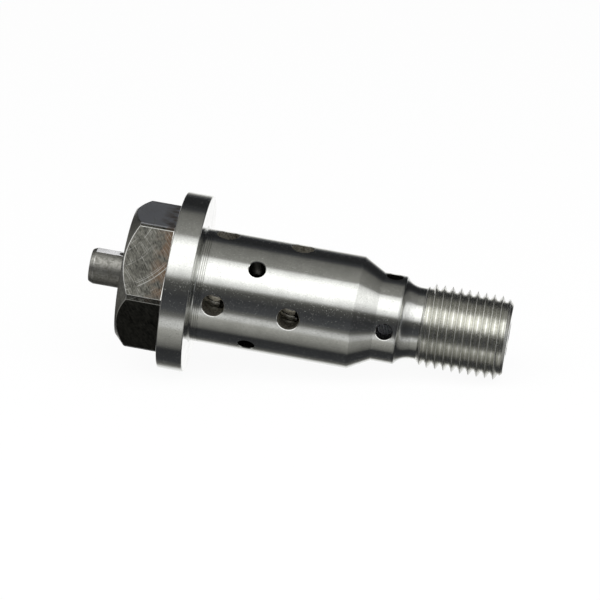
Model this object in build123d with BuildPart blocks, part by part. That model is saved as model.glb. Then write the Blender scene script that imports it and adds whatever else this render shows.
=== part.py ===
from build123d import *
import os
from math import cos, radians, sin, sqrt, tan

# Centre valve of a camshaft phaser: a hollow bolt that clamps the phaser to the camshaft and holds
# a spool, which a solenoid pushes in against its return spring. The valve's axis is X. The origin is
# the centre of the flange's seating face, the nose points to -X and the thread to +X. Millimetres.

# ---- Bolt, outside ----------------------------------------------------------------------------
flange_diameter = 32.0
flange_thickness = 4.7
flange_edge = 0.3
hex_across_flats = 23.6          # 24 mm wrench, at the low end of the forging's tolerance
hex_corner_diameter = 26.8       # corners turned down
hex_height = 8.4
hex_crown_diameter = 22.9        # front face inside the 45 degree chamfer
barrel_diameter = 20.4
barrel_length = 28.7
seat_relief = 0.4                # 45 degree corner under the flange
cone_length = 3.85
band_diameter = 16.0
band_length = 4.05
neck_diameter = 13.0
neck_radius = 3.1                # of the waist's arc
neck_length = 1.2                # straight stretch after the arc
thread_diameter = 15.0           # M15 x 1.5
thread_length = 14.6
thread_point_diameter = 12.5     # after the 45 degree end chamfer
centre_diameter = 3.0            # centre drilling in the threaded end
centre_mouth_diameter = 6.0
centre_mouth_angle = 60.0
centre_depth = 4.5

# ---- Oil holes, along the axis from the seat --------------------------------------------------
port_a_position = 3.92
lock_port_position = 10.53
port_b_position = 17.47
supply_port_setback = 1.87       # from the band's front edge
work_port_diameter = 4.0         # rows A and B
small_port_diameter = 3.0        # lock-pin row and supply row
port_edge = 0.2
row_holes = 4
min_port_wall = 1.0              # the wall round each hole is thicker than this
same_place = 0.01                # places closer than this are one place
cut_overrun = 1.0                # holes are cut this far past the surface

# ---- Bores ------------------------------------------------------------------------------------
bore_diameter = 13.02
bore_setback = 0.15              # of the bore's end from the band's front edge
chamber_diameter = 10.0
chamber_length = 4.6
drill_point_angle = 118.0
recess_step = 0.99               # radial, recess in the head for washer and ring
recess_depth = 3.8
recess_edge = 0.4
ring_groove_depth = 0.35
ring_groove_width = 1.1
ring_groove_setback = 1.1        # from the head's front face

# ---- Fits -------------------------------------------------------------------------------------
slip = 0.01                      # radial, fixed pieces in their bores
spool_play = 0.02                # radial, spool in sleeve
stop_gap = 0.05                  # axial, between a moving piece and its stop

# ---- Head pieces ------------------------------------------------------------------------------
washer_thickness = 1.0
washer_play = 0.05               # radial, in the recess
washer_bore_play = 0.4           # radial, round the nose
ring_thickness = 1.0
ring_depth = 1.9                 # radial, opposite the gap
ring_thin = 1.2                  # radial, beside the lugs
ring_gap_width = 2.0
lug_radius = 1.5
lug_hole_diameter = 1.5
lug_play = 0.99                  # radial, round the nose
lug_angle = 24.0                 # each side of the gap's middle
disc_spring_gauge = 0.35
disc_spring_play = 0.3           # radial, in the recess
disc_spring_width = 2.4          # radial
pin_diameter = 1.6
pin_length = 4.0
pin_edge = 0.2
pin_angle = 45.0

# ---- Sleeve -----------------------------------------------------------------------------------
sleeve_wall = 1.5
sleeve_edge = 0.3
work_window_diameter = 4.4
lock_window_diameter = 3.4
channel_width = 2.2
channel_depth = 0.9
feed_hole_setback = 1.7          # from the sleeve's inner end
channel_angle = 45.0             # channels lie between the work windows

# ---- Spool and nose ---------------------------------------------------------------------------
stroke = 3.0
spool_groove_depth = 1.18
spool_wall = 0.8                 # under the grooves
guide_land_length = 4.5
drain_hole_diameter = 2.0
drain_hole_setback = 2.2         # from the guide land
balance_groove_width = 0.4
balance_groove_depth = 0.25
spring_pilot_length = 0.8
nose_diameter = 6.5
nose_projection = 6.6            # beyond the hexagon's front face
nose_bore_diameter = 4.0
nose_socket_depth = 3.0
nose_end_length = 0.8            # end chamfer, along the axis
nose_end_drop = 0.35             # end chamfer, radial
nose_hole_diameter = 1.5
nose_hole_setback = 1.0          # from the hexagon's front face
nose_flat_depth = 0.23           # flat that the cross hole is drilled through
nose_flat_length = 7.6
plug_length = 2.0

# ---- Return spring and what carries it --------------------------------------------------------
wire_sides = 6                   # round wire is drawn with these
spring_wire = 0.7
spring_play = 0.9                # radial, in the sleeve
spring_turns = 4.5
plate_thickness = 0.5
plate_vent_diameter = 1.5
shim_thickness = 0.3
shim_inner_diameter = 5.0
pilot_play = 0.1                 # radial, spring on its pilots

# ---- Check valve ------------------------------------------------------------------------------
seat_thickness = 1.4
seat_mouth_diameter = 4.0
seat_hole_diameter = 2.6
ball_diameter = 4.0
ball_lift = 0.8
cage_wall = 1.2
cage_end_thickness = 0.6
cage_room = 0.65                 # left behind the lifted ball for its spring
guide_play = 0.15
guide_rib_width = 1.2
cage_window_width = 3.0
cage_window_length = 2.4
check_wire = 0.2
check_spring_diameter = 3.1
check_turns = 3.5

# ---- Filter -----------------------------------------------------------------------------------
screen_outer = 8.4
screen_gauge = 0.15
filter_ring_length = 0.5
filter_rib_height = 0.5
filter_rib_width = 0.8
filter_end_gap = 0.2

# ---- Places that follow from the sizes --------------------------------------------------------
flange_radius = flange_diameter / 2
barrel_radius = barrel_diameter / 2
band_radius = band_diameter / 2
neck_bottom = neck_diameter / 2
thread_radius = thread_diameter / 2
thread_point = thread_point_diameter / 2
bore_radius = bore_diameter / 2
chamber_radius = chamber_diameter / 2
recess_radius = bore_radius + recess_step
groove_radius = recess_radius + ring_groove_depth
sleeve_radius = bore_radius - slip
sleeve_bore = sleeve_radius - sleeve_wall

flange_front = -flange_thickness
head_front = flange_front - hex_height
nose_end = head_front - nose_projection
recess_floor = head_front + recess_depth
cone_start = barrel_length
band_start = cone_start + cone_length
band_end = band_start + band_length
waist_drop = band_radius - neck_bottom
neck_start = band_end + sqrt(neck_radius**2 - (neck_radius - waist_drop) ** 2)
neck_end = neck_start + neck_length
thread_start = neck_end + (thread_radius - neck_bottom)
thread_end = thread_start + thread_length
supply_port_position = band_start + supply_port_setback
bore_depth = band_start - bore_setback
chamber_end = bore_depth + chamber_length
drill_point = chamber_end + chamber_radius / tan(radians(drill_point_angle / 2))

seat_front = bore_depth - seat_thickness
sleeve_front = recess_floor
sleeve_end = seat_front
feed_position = sleeve_end - feed_hole_setback
washer_front = recess_floor - washer_thickness
groove_front = head_front + ring_groove_setback
ring_back = groove_front + ring_thickness

land_length = work_window_diameter
front_land_start = port_a_position - stroke / 2 - land_length / 2
rear_land_start = port_b_position - stroke / 2 - land_length / 2
spool_end = rear_land_start + land_length
spool_front = recess_floor + stop_gap
spool_radius = sleeve_bore - spool_play
spool_waist = spool_radius - spool_groove_depth
spool_bore = spool_waist - spool_wall
guide_land_end = spool_front + guide_land_length
nose_back = spool_front + nose_socket_depth

ball_radius = ball_diameter / 2
ball_position = seat_front + seat_mouth_diameter / 2 - ball_radius * sqrt(2) - stop_gap
cage_radius = sleeve_bore - slip
cage_floor = ball_position - ball_radius - ball_lift - cage_room
cage_front = cage_floor - cage_end_thickness
shim_front = cage_front - shim_thickness
plate_front = shim_front - plate_thickness
spring_radius = sleeve_bore - spring_play
spring_pilot = spring_radius - spring_wire - pilot_play
check_spring_bore = check_spring_diameter / 2 - check_wire
check_spring_end = ball_position - sqrt(ball_radius**2 - check_spring_bore**2) - stop_gap


# Turned shapes start on this half-plane, so that their seam runs between the rows of holes
section_plane = Plane.XZ.rotated((channel_angle / 2, 0, 0))


def radial_planes(position, first_angle):
    """Planes through the axis at one position, that look outwards at equal angles."""
    angles = [radians(first_angle + 360 * hole / row_holes) for hole in range(row_holes)]
    return [
        Plane(origin=(position, 0, 0), x_dir=(1, 0, 0), z_dir=(0, cos(a), sin(a))) for a in angles
    ]


def outer_rims(holed, position, surface_radius):
    """The edges that a row of holes leaves in the outer surface."""

    def is_outer_rim(edge):
        middle = edge.center(CenterOf.BOUNDING_BOX)
        depth = surface_radius - sqrt(middle.Y**2 + middle.Z**2)
        return abs(middle.X - position) < same_place and depth < min_port_wall

    return holed.edges().filter_by(is_outer_rim)


def coil_spring(front, back, outer_radius, wire, turns):
    """A spring along X, ground flat at front and back."""
    coil_radius = outer_radius - wire / 2
    pitch = (back - front) / turns
    with BuildPart() as spring:
        with BuildLine() as coil:
            Helix(
                pitch=pitch,
                height=back - front + 2 * wire,
                radius=coil_radius,
                center=(front - wire, 0, 0),
                direction=(1, 0, 0),
            )
        with BuildSketch(Plane(coil.line @ 0, z_dir=coil.line % 0)):
            RegularPolygon(wire / 2, wire_sides)
        sweep(is_frenet=True)
        split(bisect_by=Plane.YZ.offset(front), keep=Keep.TOP)
        split(bisect_by=Plane.YZ.offset(back), keep=Keep.BOTTOM)
    return spring


os.makedirs("parts", exist_ok=True)

# ---- Valve body -------------------------------------------------------------------------------
with BuildPart() as valve_body:
    with BuildSketch(Plane.YZ.offset(head_front)):
        RegularPolygon(hex_across_flats / 2, 6, major_radius=False)
    extrude(amount=hex_height)
    crown = (hex_corner_diameter - hex_crown_diameter) / 2
    with BuildSketch(section_plane):
        with BuildLine():
            Polyline(
                (head_front, 0),
                (head_front, hex_crown_diameter / 2),
                (head_front + crown, hex_corner_diameter / 2),
                (flange_front, hex_corner_diameter / 2),
                (flange_front, 0),
                close=True,
            )
        make_face()
    revolve(axis=Axis.X, mode=Mode.INTERSECT)

    # All that is turned behind the hexagon: flange, barrel, cone, band, waist and thread blank
    with BuildSketch(section_plane):
        with BuildLine():
            Polyline(
                (flange_front, 0),
                (flange_front, flange_radius - flange_edge),
                (flange_front + flange_edge, flange_radius),
                (-flange_edge, flange_radius),
                (0, flange_radius - flange_edge),
                (0, barrel_radius + seat_relief),
                (seat_relief, barrel_radius),
                (cone_start, barrel_radius),
                (band_start, band_radius),
                (band_end, band_radius),
            )
            TangentArc((neck_start, neck_bottom), (band_end, band_radius), tangent=(-1, 0))
            Polyline(
                (neck_start, neck_bottom),
                (neck_end, neck_bottom),
                (thread_start, thread_radius),
                (thread_end - (thread_radius - thread_point), thread_radius),
                (thread_end, thread_point),
                (thread_end, 0),
                (flange_front, 0),
            )
        make_face()
    revolve(axis=Axis.X)

    # Recess, ring groove, main bore, supply chamber and its drill point
    with BuildSketch(section_plane):
        with BuildLine():
            Polyline(
                (head_front, 0),
                (head_front, recess_radius + recess_edge),
                (head_front + recess_edge, recess_radius),
                (groove_front, recess_radius),
                (groove_front, groove_radius),
                (groove_front + ring_groove_width, groove_radius),
                (groove_front + ring_groove_width, recess_radius),
                (recess_floor, recess_radius),
                (recess_floor, bore_radius),
                (bore_depth, bore_radius),
                (bore_depth, chamber_radius),
                (chamber_end, chamber_radius),
                (drill_point, 0),
                close=True,
            )
        make_face()
    revolve(axis=Axis.X, mode=Mode.SUBTRACT)

    # Centre drilling in the threaded end, a cone over its pilot hole
    mouth_step = (centre_mouth_diameter - centre_diameter) / 2
    mouth_depth = mouth_step / tan(radians(centre_mouth_angle / 2))
    with BuildSketch(section_plane):
        with BuildLine():
            Polyline(
                (thread_end, 0),
                (thread_end, centre_mouth_diameter / 2),
                (thread_end - mouth_depth, centre_diameter / 2),
                (thread_end - centre_depth, centre_diameter / 2),
                (thread_end - centre_depth - centre_diameter / 2, 0),
                close=True,
            )
        make_face()
    revolve(axis=Axis.X, mode=Mode.SUBTRACT)

    # Oil holes, with their outer edges broken
    for position, first_angle, hole_diameter, surface_radius in (
        (port_a_position, 0, work_port_diameter, barrel_radius),
        (lock_port_position, channel_angle, small_port_diameter, barrel_radius),
        (port_b_position, 0, work_port_diameter, barrel_radius),
        (supply_port_position, 0, small_port_diameter, band_radius),
    ):
        with BuildSketch(*radial_planes(position, first_angle)):
            Circle(hole_diameter / 2)
        extrude(amount=surface_radius + cut_overrun, mode=Mode.SUBTRACT)
        chamfer(outer_rims(valve_body, position, surface_radius), length=port_edge)

    # Half of the hole for the locating pin
    with BuildSketch(Plane.YZ.offset(recess_floor)):
        with PolarLocations(sleeve_radius, 1, start_angle=pin_angle):
            Circle(pin_diameter / 2 + slip)
    extrude(amount=pin_length + stop_gap, mode=Mode.SUBTRACT)
valve_body.part.label = "valve_body"
export_step(valve_body.part, "parts/valve_body.step")

# ---- Control sleeve ---------------------------------------------------------------------------
with BuildPart() as control_sleeve:
    with BuildSketch(section_plane):
        with BuildLine():
            Polyline(
                (sleeve_front, sleeve_bore),
                (sleeve_front, sleeve_radius - sleeve_edge),
                (sleeve_front + sleeve_edge, sleeve_radius),
                (sleeve_end - sleeve_edge, sleeve_radius),
                (sleeve_end, sleeve_radius - sleeve_edge),
                (sleeve_end, sleeve_bore),
                close=True,
            )
        make_face()
    revolve(axis=Axis.X)
    for position, first_angle, window_diameter in (
        (port_a_position, 0, work_window_diameter),
        (lock_port_position, channel_angle, lock_window_diameter),
        (port_b_position, 0, work_window_diameter),
        (feed_position, channel_angle, channel_width),
    ):
        with BuildSketch(*radial_planes(position, first_angle)):
            Circle(window_diameter / 2)
        extrude(amount=sleeve_radius + cut_overrun, mode=Mode.SUBTRACT)

    # Outer channels that take oil past row B to the middle windows
    channel_middle = (lock_port_position + feed_position) / 2
    channel_floor = sleeve_radius - channel_depth
    with BuildSketch(
        *[plane.offset(channel_floor) for plane in radial_planes(channel_middle, channel_angle)]
    ):
        SlotCenterToCenter(feed_position - lock_port_position, channel_width)
    extrude(amount=channel_depth + cut_overrun, mode=Mode.SUBTRACT)

    with BuildSketch(Plane.YZ.offset(sleeve_front)):
        with PolarLocations(sleeve_radius, 1, start_angle=pin_angle):
            Circle(pin_diameter / 2 + slip)
    extrude(amount=pin_length + stop_gap, mode=Mode.SUBTRACT)
control_sleeve.part.label = "control_sleeve"
export_step(control_sleeve.part, "parts/control_sleeve.step")

with BuildPart() as locating_pin:
    with BuildSketch(Plane.YZ.offset(recess_floor)):
        with PolarLocations(sleeve_radius, 1, start_angle=pin_angle):
            Circle(pin_diameter / 2)
    extrude(amount=pin_length)
    chamfer(locating_pin.edges().filter_by(GeomType.CIRCLE), length=pin_edge)
locating_pin.part.label = "locating_pin"
export_step(locating_pin.part, "parts/locating_pin.step")

# ---- Head pieces ------------------------------------------------------------------------------
with BuildPart() as stop_washer:
    with BuildSketch(Plane.YZ.offset(washer_front)):
        Circle(recess_radius - washer_play)
        Circle(nose_diameter / 2 + washer_bore_play, mode=Mode.SUBTRACT)
    extrude(amount=washer_thickness)
stop_washer.part.label = "stop_washer"
export_step(stop_washer.part, "parts/stop_washer.step")

with BuildPart() as disc_spring:
    disc_spring_rim = recess_radius - disc_spring_play
    with BuildSketch(section_plane):
        with BuildLine():
            Polyline(
                (washer_front, disc_spring_rim - disc_spring_width),
                (washer_front - disc_spring_gauge, disc_spring_rim - disc_spring_width),
                (ring_back, disc_spring_rim),
                (ring_back + disc_spring_gauge, disc_spring_rim),
                close=True,
            )
        make_face()
    revolve(axis=Axis.X)
disc_spring.part.label = "disc_spring"
export_step(disc_spring.part, "parts/disc_spring.step")

# The ring tapers towards its gap, where each end carries a lug with a plier hole
with BuildPart() as retaining_ring:
    ring_radius = groove_radius - slip
    lug_place = nose_diameter / 2 + lug_play + lug_radius
    with BuildSketch(Plane.YZ.offset(groove_front)):
        Circle(ring_radius)
        with Locations((0, (ring_depth - ring_thin) / 2)):
            Circle(ring_radius - (ring_depth + ring_thin) / 2, mode=Mode.SUBTRACT)
        for side in (-1, 1):
            with PolarLocations(lug_place, 1, start_angle=90 + side * lug_angle):
                Circle(lug_radius)
                Circle(lug_hole_diameter / 2, mode=Mode.SUBTRACT)
        Circle(ring_radius, mode=Mode.INTERSECT)
        with Locations((0, ring_radius)):
            Rectangle(ring_gap_width, 2 * ring_radius, mode=Mode.SUBTRACT)
    extrude(amount=ring_thickness)
retaining_ring.part.label = "retaining_ring"
export_step(retaining_ring.part, "parts/retaining_ring.step")

# ---- Spool, nose and plug ---------------------------------------------------------------------
with BuildPart() as spool:
    with BuildSketch(section_plane):
        with BuildLine():
            Polyline(
                (spool_front, nose_diameter / 2),
                (spool_front, spool_radius),
                (guide_land_end, spool_radius),
                (guide_land_end, spool_waist),
                (front_land_start, spool_waist),
                (front_land_start, spool_radius),
                (front_land_start + land_length, spool_radius),
                (front_land_start + land_length, spool_waist),
                (rear_land_start, spool_waist),
                (rear_land_start, spool_radius),
                (spool_end, spool_radius),
                (spool_end, spring_pilot),
                (spool_end + spring_pilot_length, spring_pilot),
                (spool_end + spring_pilot_length, spool_bore),
                (nose_back, spool_bore),
                (nose_back, nose_diameter / 2),
                close=True,
            )
        make_face()
    revolve(axis=Axis.X)
    with BuildSketch(*radial_planes(guide_land_end + drain_hole_setback, 0)):
        Circle(drain_hole_diameter / 2)
    extrude(amount=spool_waist + cut_overrun, mode=Mode.SUBTRACT)

    # An oil groove keeps the guide land centred
    with BuildSketch(section_plane):
        with Locations((spool_front + guide_land_length / 2, spool_radius)):
            Rectangle(balance_groove_width, 2 * balance_groove_depth)
    revolve(axis=Axis.X, mode=Mode.SUBTRACT)
spool.part.label = "spool"
export_step(spool.part, "parts/spool.step")

with BuildPart() as spool_nose:
    with BuildSketch(section_plane):
        with BuildLine():
            Polyline(
                (nose_end, nose_bore_diameter / 2),
                (nose_end, nose_diameter / 2 - nose_end_drop),
                (nose_end + nose_end_length, nose_diameter / 2),
                (nose_back, nose_diameter / 2),
                (nose_back, nose_bore_diameter / 2),
                close=True,
            )
        make_face()
    revolve(axis=Axis.X)
    with BuildSketch(Plane.XY):
        with Locations((head_front - nose_hole_setback, 0)):
            Circle(nose_hole_diameter / 2)
    extrude(amount=nose_diameter, both=True, mode=Mode.SUBTRACT)
    with BuildSketch(Plane.YZ.offset(nose_end)):
        with Locations((0, nose_diameter / 2)):
            Rectangle(nose_diameter, 2 * nose_flat_depth)
    extrude(amount=nose_flat_length, mode=Mode.SUBTRACT)
spool_nose.part.label = "spool_nose"
export_step(spool_nose.part, "parts/spool_nose.step")

with BuildPart() as spool_plug:
    with BuildSketch(Plane.YZ.offset(nose_end)):
        Circle(nose_bore_diameter / 2)
    extrude(amount=plug_length)
spool_plug.part.label = "spool_plug"
export_step(spool_plug.part, "parts/spool_plug.step")

# ---- Return spring, its plate and shim --------------------------------------------------------
return_spring = coil_spring(spool_end, plate_front, spring_radius, spring_wire, spring_turns)
return_spring.part.label = "return_spring"
export_step(return_spring.part, "parts/return_spring.step")

with BuildPart() as spring_plate:
    with BuildSketch(Plane.YZ.offset(plate_front)):
        Circle(cage_radius)
    extrude(amount=plate_thickness)
    with BuildSketch(Plane.YZ.offset(plate_front)):
        Circle(spring_pilot)
    extrude(amount=-spring_pilot_length)
    with BuildSketch(Plane.YZ.offset(plate_front - spring_pilot_length)):
        Circle(plate_vent_diameter / 2)
    extrude(amount=spring_pilot_length + plate_thickness, mode=Mode.SUBTRACT)
spring_plate.part.label = "spring_plate"
export_step(spring_plate.part, "parts/spring_plate.step")

with BuildPart() as load_shim:
    with BuildSketch(Plane.YZ.offset(shim_front)):
        Circle(cage_radius)
        Circle(shim_inner_diameter / 2, mode=Mode.SUBTRACT)
    extrude(amount=shim_thickness)
load_shim.part.label = "load_shim"
export_step(load_shim.part, "parts/load_shim.step")

# ---- Check valve ------------------------------------------------------------------------------
with BuildPart() as check_cage:
    cage_bore = cage_radius - cage_wall
    with BuildSketch(Plane.YZ.offset(cage_front)):
        Circle(cage_radius)
    extrude(amount=seat_front - cage_front)
    with BuildSketch(Plane.YZ.offset(cage_floor)):
        Circle(cage_bore)
        Rectangle(2 * cage_radius, guide_rib_width, mode=Mode.SUBTRACT)
        Rectangle(guide_rib_width, 2 * cage_radius, mode=Mode.SUBTRACT)
        Circle(ball_radius + guide_play)
    extrude(amount=seat_front - cage_floor, mode=Mode.SUBTRACT)
    with BuildSketch(*radial_planes(feed_position, channel_angle)):
        Rectangle(cage_window_length, cage_window_width)
    extrude(amount=cage_radius + cut_overrun, mode=Mode.SUBTRACT)
check_cage.part.label = "check_cage"
export_step(check_cage.part, "parts/check_cage.step")

check_spring = coil_spring(
    cage_floor, check_spring_end, check_spring_diameter / 2, check_wire, check_turns
)
check_spring.part.label = "check_spring"
export_step(check_spring.part, "parts/check_spring.step")

with BuildPart() as check_ball:
    with BuildSketch(Plane.XY):
        with BuildLine():
            CenterArc((ball_position, 0), ball_radius, 0, 180)
            Line((ball_position - ball_radius, 0), (ball_position + ball_radius, 0))
        make_face()
    revolve(axis=Axis.X)
check_ball.part.label = "check_ball"
export_step(check_ball.part, "parts/check_ball.step")

with BuildPart() as check_seat:
    seat_cone = (seat_mouth_diameter - seat_hole_diameter) / 2
    with BuildSketch(section_plane):
        with BuildLine():
            Polyline(
                (seat_front, seat_mouth_diameter / 2),
                (seat_front, sleeve_radius),
                (bore_depth, sleeve_radius),
                (bore_depth, seat_hole_diameter / 2),
                (seat_front + seat_cone, seat_hole_diameter / 2),
                close=True,
            )
        make_face()
    revolve(axis=Axis.X)
check_seat.part.label = "check_seat"
export_step(check_seat.part, "parts/check_seat.step")

# ---- Filter -----------------------------------------------------------------------------------
with BuildPart() as filter_frame:
    filter_end = chamber_end - filter_end_gap
    for ring_start in (bore_depth, filter_end - filter_ring_length):
        with BuildSketch(Plane.YZ.offset(ring_start)):
            Circle(chamber_radius - slip)
            Circle(screen_outer / 2, mode=Mode.SUBTRACT)
        extrude(amount=filter_ring_length)
    with BuildSketch(Plane.YZ.offset(bore_depth)):
        Circle(screen_outer / 2 + filter_rib_height)
        Circle(screen_outer / 2, mode=Mode.SUBTRACT)
        with PolarLocations(screen_outer / 2, row_holes, start_angle=channel_angle):
            Rectangle(chamber_diameter, filter_rib_width, mode=Mode.INTERSECT)
    extrude(amount=filter_end - bore_depth)
filter_frame.part.label = "filter_frame"
export_step(filter_frame.part, "parts/filter_frame.step")

with BuildPart() as filter_screen:
    with BuildSketch(Plane.YZ.offset(bore_depth)):
        Circle(screen_outer / 2)
        Circle(screen_outer / 2 - screen_gauge, mode=Mode.SUBTRACT)
    extrude(amount=filter_end - bore_depth)
filter_screen.part.label = "filter_screen"
export_step(filter_screen.part, "parts/filter_screen.step")
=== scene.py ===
import math

import bpy
import bmesh
from mathutils import Matrix, Vector


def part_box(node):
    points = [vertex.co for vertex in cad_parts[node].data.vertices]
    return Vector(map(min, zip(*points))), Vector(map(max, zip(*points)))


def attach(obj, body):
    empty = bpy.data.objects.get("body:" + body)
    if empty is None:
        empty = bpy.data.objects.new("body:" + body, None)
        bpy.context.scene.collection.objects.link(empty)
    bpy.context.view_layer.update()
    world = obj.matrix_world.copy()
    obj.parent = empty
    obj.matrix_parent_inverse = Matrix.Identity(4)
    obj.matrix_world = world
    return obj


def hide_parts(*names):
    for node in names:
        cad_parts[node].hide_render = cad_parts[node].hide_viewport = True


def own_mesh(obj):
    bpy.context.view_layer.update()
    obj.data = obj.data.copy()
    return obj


# A camshaft phaser's centre valve: a hollow steel bolt whose spool nose sticks out of the hexagon
# head. X runs along the bolt from nose to thread, with the flange's seat at x = 0. The bolt lies on
# a white table, on its flange rim and its thread. Bolt sizes are in millimetres, the scene in metres.

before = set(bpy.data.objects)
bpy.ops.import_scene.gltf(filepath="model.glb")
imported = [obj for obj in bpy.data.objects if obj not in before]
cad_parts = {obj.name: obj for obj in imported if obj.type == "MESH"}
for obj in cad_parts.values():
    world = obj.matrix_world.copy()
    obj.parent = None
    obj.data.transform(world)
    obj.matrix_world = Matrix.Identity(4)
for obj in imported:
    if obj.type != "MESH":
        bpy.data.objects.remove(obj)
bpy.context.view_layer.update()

MM = 0.001
TURN = 2 * math.pi
COLUMNS = 192                    # round the bolt; divides by 6 for the hexagon and 8 for the holes
HEX_COLUMNS = COLUMNS // 6

# ---- Bolt, outside ----------------------------------------------------------------------------
FLANGE_FRONT = -4.7
FLANGE_RADIUS = 16.0
FLANGE_EDGE = 0.3
HEAD_FRONT = -13.1
HEX_APOTHEM = 11.8
HEX_CORNER = 13.4
HEX_EDGE = 0.09                  # rounding of the hexagon's edges
HEX_FOOT = 0.4                   # round corner where the hexagon meets the flange
FOOT_MIDDLE = 0.3 * HEX_FOOT     # how far that corner's middle stands from both faces
CORNER_SHINE = 0.45              # degrees, width of the worn strip on each side of a corner
CROWN_RADIUS = 11.45
BARREL_RADIUS = 10.2
BARREL_END = 28.7
SEAT_RELIEF = 0.4
RELIEF_RIDGES = 4                # turned lines in the corner between seat and barrel
RIDGE_SPACING = 0.36
RIDGE_VALLEY = 0.45              # where a ridge's valley lies, as a share of the spacing
RELIEF_DEPTH = 0.05
CONE_EDGE = 0.16
BURR_ANGLE = TURN * (180 - 19) / 360
BURR_TIP = (1.95, 0.0)           # along the bolt and round it
BURR_ENDS = ((1.35, 0.36), (0.9, -0.28))
BURR_WIDTH = 0.14
BURR_HEIGHT = 0.04
BAND_START = 32.55
BAND_END = 36.6
BAND_RADIUS = 8.0
BAND_EDGE = 0.5                  # rounding of the band's rear edge
NECK_RADIUS = 6.5
NECK_ARC = 3.1
NECK_STRAIGHT = 1.2
THREAD_RADIUS = 7.5
THREAD_LENGTH = 14.6
THREAD_POINT = 6.25              # radius of the end face inside its chamfer
PITCH = 1.5
FLANK = 60                       # degrees that the flanks lean from the crest's facing
CREST_ROUND = 0.06
ROOT_ROUND = 0.26
THREAD_PHASE = 0.4               # where the first crest stands, along the bolt
CENTRE_RADIUS = 1.5
CENTRE_MOUTH = 3.0
CENTRE_DEPTH = 4.5

# ---- Bolt, inside -----------------------------------------------------------------------------
BORE_RADIUS = 6.51
BORE_END = 32.4
CHAMBER_RADIUS = 5.0
CHAMBER_END = 37.0
DRILL_POINT = 40.0
RECESS_RADIUS = 7.5
RECESS_EDGE = 0.4
RECESS_FLOOR = -9.3
GROOVE_RADIUS = 7.85
GROOVE_FRONT = -12.0
GROOVE_BACK = -10.9

# ---- Nose -------------------------------------------------------------------------------------
NOSE_RADIUS = 3.25
NOSE_BORE = 2.0
NOSE_FRONT = -19.7
NOSE_BACK = -6.25
NOSE_END_LENGTH = 0.8            # the end's chamfer
NOSE_END_DROP = 0.35
NOSE_EDGE = 0.06
NOSE_FLAT_DEPTH = 0.23
NOSE_FLAT_END = -12.1
NOSE_FLAT_LEAN = 12              # degrees that the milled flat's facing leans back

# Rows of oil holes: place along the bolt, number of holes, first angle, hole radius, broken edge, and
# half size of the patch of mesh round each hole, in columns round the bolt and in mm along it
PORT_A = dict(x=3.92, count=4, first=0.0, hole=2.0, edge=0.1, columns=12, reach=2.35)
PORT_LOCK = dict(x=10.53, count=4, first=TURN / 8, hole=1.5, edge=0.12, columns=8, reach=2.2)
PORT_B = dict(x=17.47, count=4, first=0.0, hole=2.0, edge=0.1, columns=12, reach=2.35)
PORT_SUPPLY = dict(x=34.42, count=4, first=0.0, hole=1.5, edge=0.1, columns=11, reach=1.8)
NOSE_HOLES = dict(x=-14.1, count=2, first=TURN / 4, hole=0.75, edge=0.06, columns=14, reach=1.2)
SHADE_BELT = 2.0                   # half width of the painted shade on the sleeve under the lock row
SHADE_FADE = 0.5                   # width over which it fades
PATCH_ROWS = 16                  # grid rows across a patch
PATCH_RINGS = 4                  # rings between a patch's border and its hole

# ---- Springs ----------------------------------------------------------------------------------
WIRE_SIDES = 14
WIRE_STEPS = 40                  # per turn
END_LAPS = 0.75                  # part of a turn that lies against its neighbour at each end
GROUND_WIRE = 0.55               # thickness of the wire's ground end, as a share of the wire

WELD = 2e-7                      # m, corners that lie closer become one


# ---- Mesh tools: a skin is a mesh whose corners keep the true facing of the turned surface ----
def new_skin(*materials):
    bm = bmesh.new()
    facing = bm.loops.layers.float_vector.new("facing")
    return {"bm": bm, "facing": facing, "materials": materials, "finish": 0}


def use_finish(skin, material):
    """Gives the faces that follow one of the skin's materials."""
    skin["finish"] = skin["materials"].index(material)


def add_face(skin, points, facings):
    """One face from points in millimetres, with its own facing at each corner."""
    face = skin["bm"].faces.new([skin["bm"].verts.new(Vector(p) * MM) for p in points])
    face.smooth = True
    face.material_index = skin["finish"]
    for loop, facing in zip(face.loops, facings):
        loop[skin["facing"]] = facing


def polar(x, radius, angle):
    return Vector((x, radius * math.cos(angle), radius * math.sin(angle)))


def column_angles():
    return [TURN * c / COLUMNS for c in range(COLUMNS + 1)]


def run(start, end, steps=1):
    """Stations of a straight run of a profile: x, radius and the facing's two parts."""
    along, out = end[0] - start[0], end[1] - start[1]
    length = math.hypot(along, out)
    stations = []
    for s in range(steps + 1):
        x, radius = start[0] + along * s / steps, start[1] + out * s / steps
        stations.append((x, radius, -out / length, along / length))
    return stations


def bend(centre, radius, first, last, steps, hollow=False):
    """Stations of a round run of a profile between two angles in degrees."""
    side = -1 if hollow else 1
    stations = []
    for s in range(steps + 1):
        angle = math.radians(first + (last - first) * s / steps)
        c, n = math.cos(angle), math.sin(angle)
        stations.append((centre[0] + radius * c, centre[1] + radius * n, side * c, side * n))
    return stations


def turn(skin, stations, angles=None):
    """Turns one run of stations about the axis. A run towards +X faces out, one towards -X faces in."""
    angles = angles or column_angles()
    for (xa, ra, na, ma), (xb, rb, nb, mb) in zip(stations, stations[1:]):
        for a, b in zip(angles, angles[1:]):
            corners = [(xa, ra, a, na, ma), (xa, ra, b, na, ma), (xb, rb, b, nb, mb), (xb, rb, a, nb, mb)]
            if ra == 0:
                corners.pop(1)
            elif rb == 0:
                corners.pop(2)
            points = [polar(x, radius, angle) for x, radius, angle, _, _ in corners]
            add_face(skin, points, [polar(n, m, angle) for _, _, angle, n, m in corners])


def turn_through(skin, *points):
    """Turns the straight runs between (x, radius) points, in order."""
    for start, end in zip(points, points[1:]):
        turn(skin, run(start, end))


def hole_angles(row):
    return [row["first"] + TURN * hole / row["count"] for hole in range(row["count"])]


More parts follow.
